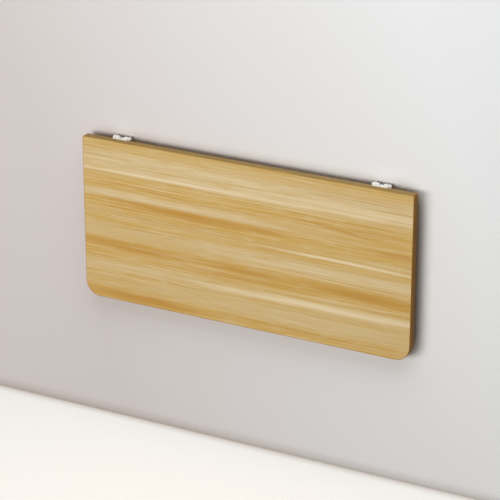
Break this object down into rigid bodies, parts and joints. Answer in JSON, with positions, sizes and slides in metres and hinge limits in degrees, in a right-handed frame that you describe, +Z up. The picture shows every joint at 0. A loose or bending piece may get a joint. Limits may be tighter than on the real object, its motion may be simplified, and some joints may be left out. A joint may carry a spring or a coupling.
{
  "type": "wall mounted drop leaf table",
  "caption": "Wood-grain drop leaf on folding white steel wall brackets, hanging folded flat; lifts level on swinging braces.",
  "frame": {"origin": "middle of the rectangle of wall screw holes, on the wall plane", "axes": "+X along the wall and the leaf, +Y into the wall (the table is at y < 0), +Z up"},
  "size_m": [0.8, 0.038, 0.3835],
  "materials": {
    "wood_grain_laminate": "satin wood-grain laminate",
    "edge_band": "satin wood-grain edge band",
    "particle_board": "raw particle board",
    "white_steel": "white powder coat",
    "plated_steel": "zinc plated",
    "white_nylon": "natural white nylon"
  },
  "bodies": {
    "wall_brackets": {"wall_leg_left": "white_steel", "hinge_pin_left": "plated_steel", "hinge_sleeves_left": "white_nylon", "hinge_washers_left": "white_nylon", "brace_pin_left": "plated_steel", "brace_bushes_left": "white_nylon", "wall_leg_right": "white_steel", "hinge_pin_right": "plated_steel", "hinge_sleeves_right": "white_nylon", "hinge_washers_right": "white_nylon", "brace_pin_right": "plated_steel", "brace_bushes_right": "white_nylon"},
    "leaf": {"leaf_core": "particle_board", "back_laminate": "wood_grain_laminate", "face_laminate": "wood_grain_laminate", "edge_band_hinge_side": "edge_band", "edge_band_free_sides": "edge_band", "leaf_arm_left": "white_steel", "arm_screws_left": "plated_steel", "catch_plate_left": "white_steel", "leaf_arm_right": "white_steel", "arm_screws_right": "plated_steel", "catch_plate_right": "white_steel"},
    "brace_left": {"brace_left": "white_steel", "tip_bar_left": "plated_steel"},
    "brace_right": {"brace_right": "white_steel", "tip_bar_right": "plated_steel"}
  },
  "joints": [
    {"name": "leaf_hinge", "type": "hinge", "parent": "wall_brackets", "child": "leaf", "pos_m": [0, -0.009, 0.058], "axis": [-1, 0, 0], "range_deg": [0, 90]},
    {"name": "brace_pivot_left", "type": "hinge", "parent": "wall_brackets", "child": "brace_left", "pos_m": [-0.314, -0.008, -0.062], "axis": [-1, 0, 0], "range_deg": [0, 126.21]},
    {"name": "brace_pivot_right", "type": "hinge", "parent": "wall_brackets", "child": "brace_right", "pos_m": [0.314, -0.008, -0.062], "axis": [-1, 0, 0], "range_deg": [0, 126.21]}
  ],
  "couplings": [
    {"joint": "brace_pivot_left", "follows": "leaf_hinge", "ratio": 1.4023},
    {"joint": "brace_pivot_right", "follows": "leaf_hinge", "ratio": 1.4023}
  ]
}
